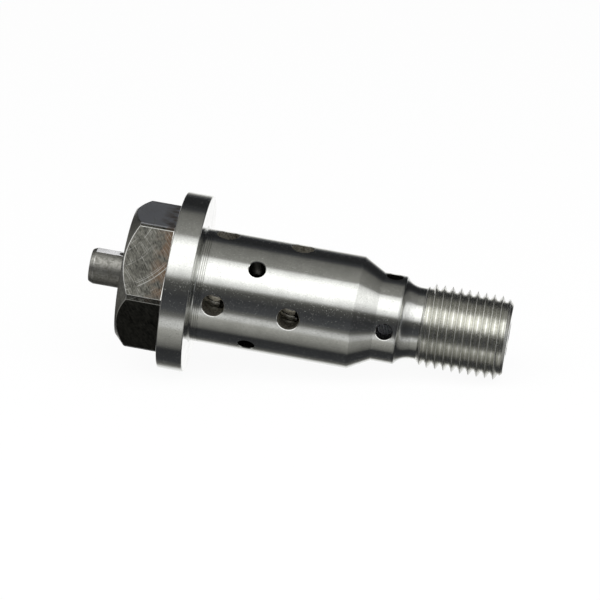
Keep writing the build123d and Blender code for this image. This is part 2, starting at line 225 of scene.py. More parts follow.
def on_wall(x, across, radius, axis_angle):
    """A point of a round wall at a straight distance across from a hole's axis."""
    out, side = polar(0, 1, axis_angle), polar(0, 1, axis_angle + TURN / 4)
    return Vector((x, 0, 0)) + out * math.sqrt(radius**2 - across**2) + side * across


def patch_border(row, radius):
    """The border of a hole's patch as (along, across) pairs, in order round the hole."""
    half, step = row["columns"], TURN / COLUMNS
    across = [radius * math.sin(step * c) for c in range(-half, half + 1)]
    along = [row["reach"] * (2 * r / PATCH_ROWS - 1) for r in range(PATCH_ROWS + 1)]
    border = [(along[0], c) for c in across]
    border += [(a, across[-1]) for a in along[1:]]
    border += [(along[-1], c) for c in reversed(across[:-1])]
    return border + [(a, across[0]) for a in reversed(along[1:-1])]


def rim(border, hole):
    """The points of a hole's rim that lie towards the border's points."""
    return [(hole * a / math.hypot(a, c), hole * c / math.hypot(a, c)) for a, c in border]


def ring_pairs(outer, inner, inward=False):
    """The faces of a ring between two closed rows of points."""
    for k in range(len(outer)):
        n = (k + 1) % len(outer)
        corners = [outer[k], outer[n], inner[n], inner[k]]
        yield corners[::-1] if inward else corners


def holed_wall(skin, x_start, x_end, radius, rows, inward=False):
    """A round wall with rows of holes. Each hole's patch runs in rings from a square to a rim."""
    step = TURN / COLUMNS

    def plain(left, right, steps=1, angles=None):
        ends = ((right, radius), (left, radius)) if inward else ((left, radius), (right, radius))
        turn(skin, run(*ends, steps), angles)

    x = x_start
    for row in rows:
        left, right = row["x"] - row["reach"], row["x"] + row["reach"]
        plain(x, left)
        x = right
        border = patch_border(row, radius)
        rounds = rim(border, row["hole"] + (0 if inward else row["edge"]))
        levels = []
        for ring in range(PATCH_RINGS + 1):
            s = ring / PATCH_RINGS
            levels.append([
                (b[0] + (r[0] - b[0]) * s, b[1] + (r[1] - b[1]) * s) for b, r in zip(border, rounds)
            ])
        for angle in hole_angles(row):
            last = COLUMNS // row["count"] - row["columns"]
            free = [angle + step * c for c in range(row["columns"], last + 1)]
            plain(left, right, PATCH_ROWS, free)
            for outer, inner in zip(levels, levels[1:]):
                for corners in ring_pairs(outer, inner, inward):
                    points = [on_wall(row["x"] + a, c, radius, angle) for a, c in corners]
                    side = -1 if inward else 1
                    add_face(skin, points, [Vector((0, p.y, p.z)).normalized() * side for p in points])
    plain(x, x_end)


def hole_walls(skin, row, outer_radius, inner_radius, rim_finish, wall_finish):
    """The broken edge and the drilled wall of each hole of a row, from outer to inner wall."""
    rim_shape = rim(patch_border(row, outer_radius), row["hole"])
    lip_shape = rim(patch_border(row, outer_radius), row["hole"] + row["edge"])
    foot_shape = rim(patch_border(row, inner_radius), row["hole"])
    centre = Vector((row["x"], 0, 0))
    for angle in hole_angles(row):
        out, side = polar(0, 1, angle), polar(0, 1, angle + TURN / 4)
        lip = [on_wall(row["x"] + a, c, outer_radius, angle) for a, c in lip_shape]
        mouth = [
            Vector((row["x"] + a, 0, 0)) + out * (top.dot(out) - row["edge"]) + side * c
            for (a, c), top in zip(rim_shape, lip)
        ]
        foot = [on_wall(row["x"] + a, c, inner_radius, angle) for a, c in foot_shape]
        for upper, lower, tilt, finish in ((lip, mouth, 1.0, rim_finish), (mouth, foot, 0.0, wall_finish)):
            use_finish(skin, finish)
            for points in ring_pairs(upper, lower):
                spokes = [(p - centre) - out * (p - centre).dot(out) for p in points]
                add_face(skin, points, [(out * tilt - s.normalized()).normalized() for s in spokes])


def link(name, data):
    item = bpy.data.objects.new(name, data)
    bpy.context.scene.collection.objects.link(item)
    return item


def finish_skin(skin, name, body, slot, *nodes):
    """Welds a skin into one piece whose shading follows the stored facings. The nodes are the parts
    that it stands for."""
    bm = skin["bm"]
    bmesh.ops.remove_doubles(bm, verts=bm.verts, dist=WELD)
    mesh = bpy.data.meshes.new(name)
    bm.to_mesh(mesh)
    bm.free()
    facings = [item.vector.copy() for item in mesh.attributes["facing"].data]
    mesh.attributes.remove(mesh.attributes["facing"])
    mesh.normals_split_custom_set(facings)
    for material in skin["materials"]:
        mesh.materials.append(material)
    piece = link(name, mesh)
    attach(piece, body)
    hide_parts(*nodes)
    return piece


# ---- Materials --------------------------------------------------------------------------------
def linear(code):
    """Linear colour of an sRGB hex code."""
    parts = [int(code[i:i + 2], 16) / 255 for i in (0, 2, 4)]
    return tuple(c / 12.92 if c <= 0.04045 else ((c + 0.055) / 1.055) ** 2.4 for c in parts) + (1.0,)


def add_node(tree, kind, links=None, **settings):
    """Adds one node. Links give each input a value or another node's output."""
    node = tree.nodes.new(kind)
    for name, value in settings.items():
        setattr(node, name, value)
    for socket, source in (links or {}).items():
        if isinstance(source, bpy.types.NodeSocket):
            tree.links.new(source, node.inputs[socket])
        else:
            node.inputs[socket].default_value = source
    return node


def new_material(name):
    material = bpy.data.materials.new(name)
    material.use_nodes = True
    material.node_tree.nodes.clear()
    return material, material.node_tree


def show(tree, kind, links):
    """Adds a material's last shader and brings it to the surface."""
    shader = add_node(tree, kind, links)
    add_node(tree, "ShaderNodeOutputMaterial", {"Surface": shader.outputs[0]})


def own_place(tree):
    """A point's place in its own object in metres, whole and split into X, Y and Z."""
    whole = add_node(tree, "ShaderNodeTexCoord").outputs["Object"]
    return whole, add_node(tree, "ShaderNodeSeparateXYZ", {0: whole}).outputs


def calculate(tree, operation, *values):
    """The result of a sum on numbers or other nodes' outputs."""
    return add_node(tree, "ShaderNodeMath", dict(enumerate(values)), operation=operation).outputs[0]


def rescale(tree, value, low, high, new_low=0.0, new_high=1.0):
    """Takes a value from one range to another and keeps it inside."""
    return add_node(tree, "ShaderNodeMapRange", {
        "Value": value, "From Min": low, "From Max": high, "To Min": new_low, "To Max": new_high,
    }).outputs[0]


def noise(tree, whole, size, detail):
    """Cloudy noise with spots of about a size in mm."""
    return add_node(tree, "ShaderNodeTexNoise", {
        "Vector": whole, "Scale": 1 / (size * MM), "Detail": detail,
    }).outputs[0]


def line_noise(tree, way, spacing, detail):
    """Noise in lines that follow each other along a way, about a spacing in mm apart."""
    scaled = calculate(tree, "MULTIPLY", way, 1 / (spacing * MM))
    return add_node(tree, "ShaderNodeTexNoise", {
        "W": scaled, "Scale": 1.0, "Detail": detail,
    }, noise_dimensions="1D").outputs[0]


def mix(tree, share, under, over, blend="MIX"):
    """Mixes two colours, which are this node's inputs 6 and 7."""
    return add_node(tree, "ShaderNodeMix", {
        0: share, 6: under, 7: over,
    }, data_type="RGBA", blend_type=blend).outputs[2]


def set_stops(ramp, stops):
    """Gives a colour ramp its stops as (place, colour) pairs."""
    elements = ramp.color_ramp.elements
    while len(elements) < len(stops):
        elements.new(0.5)
    for element, (place, colour) in zip(elements, sorted(stops)):
        element.position, element.color = place, colour


def bump(tree, height, depth):
    """The facing of a rough surface, from a height and the depth in mm of one unit of it."""
    return add_node(tree, "ShaderNodeBump", {"Height": height, "Distance": depth * MM}).outputs[0]


CLOUD = 3.0                      # mm, size of the slow changes of tone on worked steel
GRIT = 0.16                      # mm, spacing of the stray grit marks
GRIT_MARKS = (0.69, 0.76)        # range of the noise that shows as marks
SPECKLE_HEIGHT = 0.6             # of the grain, beside tool marks of 1
SHADES = (0.15, 0.35)            # range of the product of two noises
# Dark tone painted as shade in the lock and supply holes and on the sleeve under the lock row
HOLE_SHADE = "2A2927"


def worked_steel(name, light, dark, smooth, rough, marks, depth, grain, along="axis", pit=0, shade_x=None):
    """Steel with tool marks, their spacing and depth in mm, and a grain in mm. The marks follow each
    other along the axis or along the radius. Pit is the depth of stray grit marks. Shade_x is the
    middle in mm of a belt darkened as painted shade."""
    material, tree = new_material(name)
    whole, parts = own_place(tree)
    if along == "axis":
        way = parts["X"]
    else:
        flat = add_node(tree, "ShaderNodeVectorMath", {0: whole, 1: (0, 1, 1)}, operation="MULTIPLY")
        flat = flat.outputs[0]
        way = add_node(tree, "ShaderNodeVectorMath", {0: flat}, operation="LENGTH").outputs["Value"]
    cuts = line_noise(tree, way, marks, 1.5)
    speckle = noise(tree, whole, grain, 3.0)
    # Sparse grit marks, a few hundredths of a millimetre deep, that glint beside a bright band
    pits = rescale(tree, noise(tree, whole, GRIT, 1.0), *GRIT_MARKS, 0.0, pit / depth)
    height = calculate(tree, "MULTIPLY_ADD", speckle, SPECKLE_HEIGHT, cuts)
    height = calculate(tree, "SUBTRACT", height, pits)
    shade = calculate(tree, "MULTIPLY", noise(tree, whole, CLOUD, 3.0), speckle)
    colour = mix(tree, rescale(tree, shade, *SHADES), linear(dark), linear(light))
    if shade_x:
        # a belt darkened as painted shade
        away = calculate(tree, "ABSOLUTE", calculate(tree, "SUBTRACT", parts["X"], shade_x * MM))
        outside_shade = rescale(tree, away, SHADE_BELT * MM, (SHADE_BELT + SHADE_FADE) * MM)
        colour = mix(tree, outside_shade, linear(HOLE_SHADE), colour)
    show(tree, "ShaderNodeBsdfPrincipled", {
        "Base Color": colour, "Metallic": 1.0,
        "Roughness": rescale(tree, shade, *SHADES, rough, smooth),
        "Normal": bump(tree, height, depth),
    })
    return material


# Bolt steel, turned and then ground: clear bands of light with fine rings and a faint grain. The
# real marks are finer than 0.1 mm and are drawn coarser so that they show.
TURNED = worked_steel("turned_bolt_steel", "D0D1CD", "C2C3BF", 0.08, 0.14, 0.22, 0.0012, 0.25, pit=0.01)
# The same steel faced across on the lathe: rings round the axis, a clean shine
FACED = worked_steel("faced_bolt_steel", "DCDCD9", "CACAC7", 0.08, 0.14, 0.2, 0.0008, 0.3, "radius")
# Edges that sockets and handling have worn bright
WORN = worked_steel("worn_bright_edge_steel", "CCCCC8", "AAAAA6", 0.25, 0.35, 0.3, 0.003, 0.3)
# Rolled thread: the rollers leave it smooth, with an oily grain
ROLLED = worked_steel("rolled_thread_steel", "E2E2DC", "D0D0CA", 0.2, 0.28, 0.5, 0.001, 0.3)
# Its crests: bright from the dies, and rough enough to glint from every side
CREST = worked_steel("thread_crest_steel", "F0F0EC", "DCDCD8", 0.4, 0.5, 0.3, 0.002, 0.3)
# Crown chamfer, turned before hardening: grey and satin
CROWN = worked_steel("turned_crown_steel", "A6A59F", "84837D", 0.3, 0.45, 0.25, 0.006, 0.4)
# Waist, cut with a form tool: softer bands than the ground barrel
WAIST = worked_steel("formed_waist_steel", "C8C9C6", "B4B5B2", 0.13, 0.19, 0.2, 0.002, 0.25)
# Bored and centre-drilled walls: grey, with drill rings
DRILLED = worked_steel("drilled_hole_steel", "CFCEC8", "A09F98", 0.4, 0.6, 0.25, 0.02, 0.3)
# Oil holes: torn by the drill and stained, so mottled and dull
PORT_WALL = worked_steel("stained_oil_hole_steel", "C8C4B8", "6E6A60", 0.5, 0.75, 0.25, 0.03, 0.3)
# The walls of the lock holes and the supply holes: dark, as painted shade in these deep holes
SHADED_HOLE_WALL = worked_steel("shade_painted_hole_steel", "56544F", HOLE_SHADE, 0.3, 0.5, 0.25, 0.03, 0.3)
# Ground nose: satin, mottled by handling
NOSE = worked_steel("ground_nose_steel", "A5A49E", "81807A", 0.46, 0.58, 0.2, 0.008, 0.4)
# Its end chamfer, turned: fine rings and a soft shine
NOSE_END = worked_steel("turned_nose_end_steel", "A6A59F", "8C8B85", 0.4, 0.5, 0.15, 0.004, 0.3)
# Its flat, milled last: bright and nearly smooth
MILLED = worked_steel("milled_flat_steel", "FCFCFF", "F2F2F6", 0.06, 0.1, 0.3, 0.0004, 0.3)
# Honed sleeve and seat: fine rings and a soft shine
# Under the lock row a belt of it is darkened as painted shade
SLEEVE = worked_steel(
    "honed_sleeve_steel", "C9C8C2", "9E9D97", 0.24, 0.36, 0.2, 0.003, 0.25, shade_x=PORT_LOCK["x"],
)
# Ground and lapped spool: nearly mirror bright
SPOOL = worked_steel("lapped_spool_steel", "E2E1DC", "D2D1CC", 0.09, 0.15, 0.25, 0.0015, 0.3)
# Drawn and oil-tempered spring wire: dark grey, with lines along its length
SPRING = worked_steel("tempered_spring_steel", "85858A", "5E5E62", 0.26, 0.4, 0.3, 0.003, 0.25)
# Stamped strip steel, tumbled: soft grain and dull shine
STAMPED = worked_steel("stamped_strip_steel", "B2B2B0", "8F8F8D", 0.28, 0.42, 0.6, 0.003, 0.3, "radius")
# Polished bearing ball
BALL = worked_steel("polished_ball_steel", "E4E4E3", "D8D8D7", 0.04, 0.07, 0.5, 0.0005, 0.4)


def moulded_nylon():
    """Glass-filled nylon, moulded: near black, a soft gloss over a faint eroded grain."""
    material, tree = new_material("moulded_black_nylon")
    grain = noise(tree, add_node(tree, "ShaderNodeTexCoord").outputs["Object"], 0.15, 3.0)
    show(tree, "ShaderNodeBsdfPrincipled", {
        "Base Color": mix(tree, grain, linear("141517"), linear("26272A")),
        "Roughness": rescale(tree, grain, 0.0, 1.0, 0.35, 0.6),
        "IOR": 1.53, "Normal": bump(tree, grain, 0.01),
    })
    return material


def woven_wire(spacing):
    """Woven stainless filter wire: bright wire crowns as a painted highlight over gaps darkened as painted
    shade. The real weave is about 0.1 mm, and the rings are drawn coarser so that they show."""
    material, tree = new_material("woven_filter_wire")
    parts = own_place(tree)[1]
    angle = calculate(tree, "ARCTAN2", parts["Z"], parts["Y"])
    # The angle is scaled by the place of the screen's far end, nearly nine times its radius, so the
    # wires that run along the bolt stand much closer together than the rings
    far_end = max(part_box("filter_screen")[1])
    waves = []
    for way, scale in ((parts["X"], 1), (angle, far_end)):
        turns = calculate(tree, "MULTIPLY", way, scale * math.pi / (spacing * MM))
        waves.append(calculate(tree, "ABSOLUTE", calculate(tree, "SINE", turns)))
    crown = calculate(tree, "MULTIPLY", *waves)
    # painted highlight on the wire crowns, painted shade in the gaps
    tone = add_node(tree, "ShaderNodeValToRGB", {0: crown})
    set_stops(tone, [(0.1, linear("5A5F66")), (0.5, linear("F2F5FA"))])
    show(tree, "ShaderNodeBsdfPrincipled", {
        "Base Color": tone.outputs[0], "Metallic": 0.2, "Roughness": 0.5,
        "Normal": bump(tree, crown, 0.05),
    })
    return material


SWEEP_CENTRE = (-18, -5.7, 13.7)  # mm, round which most socket scratches sweep
SCRATCH_CENTRE = (-60, -40, -30)  # the same for the scratches that cross them
SCRATCHES = (0.64, 0.76)         # range of the noise that shows as scratches
FADES = (0.35, 0.65)             # range of the spots in which the fine ones fade
BREAKS = (0.42, 0.6)             # range of the clouds in which the strong ones break off
RUB = (0.13, 1.4, 1.4)           # mm, size of a slanting rub
RUB_LEAN = -35                   # degrees
MOTTLE = (0.55, 1.05)            # range of the mottle
PAINTED_SHEEN_HEIGHT = (11.62, 11.72)        # mm up, where the painted sheen, a painted highlight, of the top flat sets in
PAINTED_SHADE_HEIGHT = (-0.7, -0.2)         # mm up, where the painted shade of the lower flats ends
STAIN = (-8.2, -6.2)             # mm along, where the stain beside the flange sets in
RAGGED = (0.4, 0.55)             # range of the clouds in which its outline breaks up


def forged_hexagon():
    """Cold-forged and hardened hexagon: dull mottled grey with long sweeping scratches from
    sockets, a painted blue sheen (a painted highlight) on the top flat, painted shade on the lower ones,
    and a brown stain beside the flange."""
    material, tree = new_material("forged_hexagon_steel")
    whole, parts = own_place(tree)

    def arcs(centre, spacing, detail):
        reach = add_node(tree, "ShaderNodeVectorMath", {
            0: whole, 1: Vector(centre) * MM,
        }, operation="DISTANCE")
        return line_noise(tree, reach.outputs["Value"], spacing, detail)

    cloud = noise(tree, whole, 2.0, 5.0)
    spots = noise(tree, whole, 0.5, 3.0)
    # Fine scratches fade in and out along each sweep, and the strong ones break off in the clouds
    fine = calculate(tree, "MULTIPLY", arcs(SWEEP_CENTRE, 0.16, 3.0), rescale(tree, spots, *FADES))
    strong = calculate(tree, "MAXIMUM", arcs(SWEEP_CENTRE, 0.22, 1.0), arcs(SCRATCH_CENTRE, 0.13, 1.0))
    strong = rescale(tree, strong, *SCRATCHES)
    strong = calculate(tree, "MULTIPLY", strong, rescale(tree, cloud, *BREAKS))
    slant = add_node(tree, "ShaderNodeMapping", {
        "Vector": whole, "Rotation": (0, math.radians(RUB_LEAN), 0), "Scale": Vector(RUB) * MM,
    }, vector_type="TEXTURE")
    rubs = add_node(tree, "ShaderNodeTexNoise", {"Vector": slant.outputs[0], "Scale": 1.0, "Detail": 3.0})
    # The mottle is the rubs, with 0.4 of the clouds and 0.3 of the fine scratches
    mottle = calculate(tree, "MULTIPLY_ADD", cloud, 0.4, rubs.outputs[0])
    mottle = calculate(tree, "MULTIPLY_ADD", fine, 0.3, mottle)
    colour = mix(tree, rescale(tree, mottle, *MOTTLE), linear("333330"), linear("7A7971"))

    # Painted sheen on the top flat, painted shade on the lower flats, and a stain, with the bright scratches
    # on top outside the painted shade
    low, high = (z * MM for z in PAINTED_SHEEN_HEIGHT)
    colour = mix(tree, rescale(tree, parts["Z"], low, high, 0.0, 0.7), colour, linear("DEE1EA"))
    # Darker below this height: painted shade on the lower flats
    low, high = (z * MM for z in PAINTED_SHADE_HEIGHT)
    unshaded = rescale(tree, parts["Z"], low, high)
    colour = mix(tree, 1.0, colour, mix(tree, unshaded, linear("A4A4A4"), (1, 1, 1, 1)), "MULTIPLY")
    low, high = (x * MM for x in STAIN)
    stain = rescale(tree, parts["X"], low, high, 0.0, 0.75)
    stain = calculate(tree, "MULTIPLY", stain, rescale(tree, cloud, *RAGGED))
    colour = mix(tree, calculate(tree, "MULTIPLY", stain, unshaded), colour, linear("64503F"))
    colour = mix(tree, calculate(tree, "MULTIPLY", strong, unshaded), colour, linear("A2A29D"))
    show(tree, "ShaderNodeBsdfPrincipled", {
        "Base Color": colour, "Metallic": 1.0,
        "Roughness": rescale(tree, mottle, *MOTTLE, 0.36, 0.5),
        "Normal": bump(tree, mottle, 0.02),
    })
    return material


FORGED = forged_hexagon()
NYLON = moulded_nylon()
SCREEN = woven_wire(0.28)


# ---- Bolt body --------------------------------------------------------------------------------
def hexagon_angles():
    """Column angles, with two columns on each side of a corner moved to the ends of the flats."""
    corner = math.degrees(math.acos(HEX_APOTHEM / HEX_CORNER))
    moved = {
        1: -corner, 2: CORNER_SHINE - corner,
        HEX_COLUMNS - 2: corner - CORNER_SHINE, HEX_COLUMNS - 1: corner,
    }
    angles = []
    for c in range(COLUMNS + 1):
        side, column = divmod(c, HEX_COLUMNS)
        from_middle = moved.get(column, column * 60 / HEX_COLUMNS - 30)
        angles.append(math.radians(side * 60 + 30 + from_middle))
    return angles


def hexagon_radius(angle):
    from_middle = (math.degrees(angle) % 60) - 30
    return min(HEX_APOTHEM / math.cos(math.radians(from_middle)), HEX_CORNER)


def side_facing(c):
    """Facing of the hexagon's side at a column: flat on the flats, round on the turned corners."""
    side, column = divmod(c, HEX_COLUMNS)
    if column <= 1:
        return math.radians(side * 60 + column * 60 / HEX_COLUMNS)
    if column == HEX_COLUMNS - 1:
        return math.radians((side + 1) * 60 - 60 / HEX_COLUMNS)
    return math.radians(side * 60 + 30)


body = new_skin(TURNED, FACED, FORGED, ROLLED, DRILLED, WORN, CROWN, WAIST, SHADED_HOLE_WALL, CREST, PORT_WALL)
hex_columns = hexagon_angles()
round_columns = column_angles()
forward = Vector((-1, 0, 0))

# Crown face, chamfer, sides and the flange's front face, one strip for each pair of columns
for c in range(COLUMNS):
    edges = []
    for k in (c, c + 1):
        angle, plain = hex_columns[k], round_columns[k]
        radius = hexagon_radius(angle)
        chamfer_x = HEAD_FRONT + radius - CROWN_RADIUS
        facing = polar(0, 1, side_facing(k))
        slope = (forward + polar(0, 1, angle)).normalized()
        foot = (facing + forward).normalized()
        edges.append([
            (polar(HEAD_FRONT, RECESS_RADIUS + RECESS_EDGE, plain), forward, FACED),
            (polar(HEAD_FRONT, CROWN_RADIUS - HEX_EDGE, angle), forward, FORGED),
            (polar(HEAD_FRONT + HEX_EDGE / 2, CROWN_RADIUS + HEX_EDGE / 2, angle), slope, CROWN),
            (polar(chamfer_x - HEX_EDGE, radius - HEX_EDGE, angle), slope, WORN),
            (polar(chamfer_x + HEX_EDGE, radius, angle), facing, FORGED),
            (polar(FLANGE_FRONT - HEX_FOOT, radius, angle), facing, FACED),
            (polar(FLANGE_FRONT - FOOT_MIDDLE, radius + FOOT_MIDDLE, angle), foot, FACED),
            (polar(FLANGE_FRONT, radius + HEX_FOOT, angle), forward, FACED),
            (polar(FLANGE_FRONT, FLANGE_RADIUS - FLANGE_EDGE, plain), forward, FACED),
        ])
    worn = c % HEX_COLUMNS in (1, HEX_COLUMNS - 2)
    levels = list(zip(*edges))
    for first, second in zip(levels, levels[1:]):
        finish = first[0][2]
        use_finish(body, WORN if worn and finish == FORGED else finish)
        corners = [first[0], first[1], second[1], second[0]]
        add_face(body, [p for p, _, _ in corners], [n for _, n, _ in corners])

# Flange rim, seat, barrel, cone, band and waist
use_finish(body, TURNED)
turn(body, bend((FLANGE_FRONT + FLANGE_EDGE, FLANGE_RADIUS - FLANGE_EDGE), FLANGE_EDGE, 180, 90, 4))
turn_through(body, (FLANGE_FRONT + FLANGE_EDGE, FLANGE_RADIUS), (-FLANGE_EDGE, FLANGE_RADIUS))
turn(body, bend((-FLANGE_EDGE, FLANGE_RADIUS - FLANGE_EDGE), FLANGE_EDGE, 90, 0, 4))
use_finish(body, FACED)
turn_through(body, (0, FLANGE_RADIUS - FLANGE_EDGE), (0, BARREL_RADIUS + SEAT_RELIEF))
use_finish(body, TURNED)
relief = [(0, BARREL_RADIUS + SEAT_RELIEF), (SEAT_RELIEF / 2, BARREL_RADIUS + SEAT_RELIEF / 4)]
for ridge in range(RELIEF_RIDGES):
    ridge_x = SEAT_RELIEF / 2 + RIDGE_SPACING * ridge
    relief.append((ridge_x + RIDGE_SPACING * RIDGE_VALLEY, BARREL_RADIUS - RELIEF_DEPTH))
    relief.append((ridge_x + RIDGE_SPACING, BARREL_RADIUS))
turn_through(body, *relief)
holed_wall(body, relief[-1][0], BARREL_END - CONE_EDGE, BARREL_RADIUS, (PORT_A, PORT_LOCK, PORT_B))
turn_through(
    body, (BARREL_END - CONE_EDGE, BARREL_RADIUS), (BARREL_END, BARREL_RADIUS - CONE_EDGE / 4),
    (BAND_START, BAND_RADIUS),
)
# The band's round edge meets the waist's hollow arc where both lean the same way
neck_start = BAND_END + math.sqrt(NECK_ARC**2 - (NECK_ARC - BAND_RADIUS + NECK_RADIUS) ** 2)
neck_end = neck_start + NECK_STRAIGHT
edge_height = NECK_RADIUS + NECK_ARC - BAND_RADIUS + BAND_EDGE
arc_angle = math.degrees(math.acos(edge_height / (NECK_ARC + BAND_EDGE)))
edge_x = neck_start - (NECK_ARC + BAND_EDGE) * math.sin(math.radians(arc_angle))
holed_wall(body, BAND_START, edge_x, BAND_RADIUS, (PORT_SUPPLY,))
use_finish(body, WAIST)
turn(body, bend((edge_x, BAND_RADIUS - BAND_EDGE), BAND_EDGE, 90, 90 - arc_angle, 6))
turn(body, bend((neck_start, NECK_RADIUS + NECK_ARC), NECK_ARC, 270 - arc_angle, 270, 8, hollow=True))
use_finish(body, TURNED)
turn_through(body, (neck_start, NECK_RADIUS), (neck_end, NECK_RADIUS))

# Thread: rows follow the helix, and the ends are cut by the lead-in cone and the end chamfer
thread_end = neck_end + THREAD_RADIUS - NECK_RADIUS + THREAD_LENGTH
crest_edge = CREST_ROUND * math.sin(math.radians(FLANK))
root_edge = PITCH / 2 - ROOT_ROUND * math.sin(math.radians(FLANK))
flank_drop = (root_edge - crest_edge) * math.tan(math.radians(FLANK))
thread_root = THREAD_RADIUS - (CREST_ROUND + ROOT_ROUND) * (1 - math.cos(math.radians(FLANK))) - flank_drop
root_centre = thread_root + ROOT_ROUND
flank_foot, flank_top = root_centre - ROOT_ROUND / 2, THREAD_RADIUS - CREST_ROUND / 2
profile = [
    (ROLLED, bend((-PITCH / 2, root_centre), ROOT_ROUND, 270, 270 + FLANK, 4, hollow=True)),
    (ROLLED, run((-root_edge, flank_foot), (-crest_edge, flank_top), 4)),
    (CREST, bend((0, THREAD_RADIUS - CREST_ROUND), CREST_ROUND, 90 + FLANK, 90 - FLANK, 4)),
    (ROLLED, run((crest_edge, flank_top), (root_edge, flank_foot), 4)),
    (ROLLED, bend((PITCH / 2, root_centre), ROOT_ROUND, 270 - FLANK, 270, 4, hollow=True)),
]


def thread_corner(x, radius, n, m, angle, shift):
    """A point and facing of the thread, kept inside the neck's cone and the end chamfer."""
    along = x + shift + PITCH * angle / TURN
    kept = min(max(along, neck_end), thread_end)
    if kept != along:
        radius = math.inf
    lead_in, point = NECK_RADIUS + kept - neck_end, THREAD_POINT + thread_end - kept
    for limit, facing in ((lead_in, (-1, 1)), (point, (1, 1))):
        if limit < radius:
            radius, n, m = limit, *facing
    lean = -n * PITCH / TURN / THREAD_RADIUS
    across = polar(0, 1, angle + TURN / 4)
    return polar(kept, radius, angle), (polar(n, m, angle) + across * lean).normalized()


# The laps start before the neck's end and go on beyond the thread's end, so that both are covered
for lap in range(int(THREAD_LENGTH / PITCH) + 5):
    shift = neck_end - PITCH * 1.5 + THREAD_PHASE + lap * PITCH
    for material, stations in profile:
        use_finish(body, material)
        for lower, upper in zip(stations, stations[1:]):
            for a, b in zip(round_columns, round_columns[1:]):
                corners = [
                    thread_corner(*station, angle, shift)
                    for station, angle in ((lower, a), (lower, b), (upper, b), (upper, a))
                ]
                places = [p.x for p, _ in corners]
                if max(places) - min(places) >= 1e-6:       # else it lies wholly beyond an end
                    add_face(body, [p for p, _ in corners], [n for _, n in corners])

# End face and centre drilling
mouth_end = thread_end - (CENTRE_MOUTH - CENTRE_RADIUS) * math.tan(TURN / 6)
drill_end = thread_end - CENTRE_DEPTH
use_finish(body, FACED)
turn_through(body, (thread_end, THREAD_POINT), (thread_end, CENTRE_MOUTH))
use_finish(body, DRILLED)
turn_through(
    body, (thread_end, CENTRE_MOUTH), (mouth_end, CENTRE_RADIUS), (drill_end, CENTRE_RADIUS),
    (drill_end - CENTRE_RADIUS, 0),
)

# Supply chamber, bore, recess and ring groove
turn_through(body, (DRILL_POINT, 0), (CHAMBER_END, CHAMBER_RADIUS))
holed_wall(body, BORE_END, CHAMBER_END, CHAMBER_RADIUS, (PORT_SUPPLY,), inward=True)
turn_through(body, (BORE_END, CHAMBER_RADIUS), (BORE_END, BORE_RADIUS))
holed_wall(body, RECESS_FLOOR, BORE_END, BORE_RADIUS, (PORT_A, PORT_LOCK, PORT_B), inward=True)
turn_through(
    body, (RECESS_FLOOR, BORE_RADIUS), (RECESS_FLOOR, RECESS_RADIUS),
    (GROOVE_BACK, RECESS_RADIUS), (GROOVE_BACK, GROOVE_RADIUS),
    (GROOVE_FRONT, GROOVE_RADIUS), (GROOVE_FRONT, RECESS_RADIUS),
    (HEAD_FRONT + RECESS_EDGE, RECESS_RADIUS), (HEAD_FRONT, RECESS_RADIUS + RECESS_EDGE),
)

# A raised burr on the barrel beside row A: two slivers of metal with a common tip
use_finish(body, WORN)
for end in BURR_ENDS:
    aside = Vector((end[0] - BURR_TIP[0], end[1] - BURR_TIP[1])).normalized() * BURR_WIDTH / 2
    ridge, left, right = [], [], []
    for x, across in (BURR_TIP, end):
        for edge, dx, da, rise in (
            (ridge, 0, 0, BURR_HEIGHT),
            (left, -aside.y, aside.x, -BURR_HEIGHT),
            (right, aside.y, -aside.x, -BURR_HEIGHT),
        ):
            edge.append(polar(x + dx, BARREL_RADIUS + rise, BURR_ANGLE - (across + da) / BARREL_RADIUS))
    for corners in (
        (ridge[0], ridge[1], left[1], left[0]), (right[0], right[1], ridge[1], ridge[0]),
        (left[0], left[1], right[1], right[0]), (ridge[0], left[0], right[0]), (ridge[1], right[1], left[1]),
    ):
        facing = (corners[1] - corners[0]).cross(corners[2] - corners[0]).normalized()
        add_face(body, corners, [facing] * len(corners))

for row, outer_radius, inner_radius, wall in (
    (PORT_A, BARREL_RADIUS, BORE_RADIUS, PORT_WALL), (PORT_LOCK, BARREL_RADIUS, BORE_RADIUS, SHADED_HOLE_WALL),
    (PORT_B, BARREL_RADIUS, BORE_RADIUS, PORT_WALL), (PORT_SUPPLY, BAND_RADIUS, CHAMBER_RADIUS, SHADED_HOLE_WALL),
):
    hole_walls(body, row, outer_radius, inner_radius, TURNED, wall)
finish_skin(body, "valve_body_turned", "valve_housing", "bolt_steel", "valve_body")


# ---- Nose -------------------------------------------------------------------------------------
nose = new_skin(NOSE, NOSE_END, WORN, DRILLED, MILLED)
shoulder_x, tip_radius = NOSE_FRONT + NOSE_END_LENGTH, NOSE_RADIUS - NOSE_END_DROP
flat_height = NOSE_RADIUS - NOSE_FLAT_DEPTH
flat_start = NOSE_FRONT + NOSE_END_LENGTH * (flat_height - tip_radius) / NOSE_END_DROP
face_edge, cone_start = (NOSE_FRONT, tip_radius - NOSE_EDGE), (NOSE_FRONT + NOSE_EDGE, tip_radius)
cone_end = (shoulder_x - NOSE_EDGE, NOSE_RADIUS - NOSE_EDGE / 2)
for material, *points in (
    (NOSE, (NOSE_FRONT, NOSE_BORE), face_edge), (WORN, face_edge, cone_start),
    (NOSE_END, cone_start, (flat_start, flat_height), cone_end),
    (WORN, cone_end, (shoulder_x + NOSE_EDGE, NOSE_RADIUS)),
):
    use_finish(nose, material)
    turn_through(nose, *points)
use_finish(nose, NOSE)
holed_wall(nose, shoulder_x + NOSE_EDGE, NOSE_FLAT_END, NOSE_RADIUS, (NOSE_HOLES,))
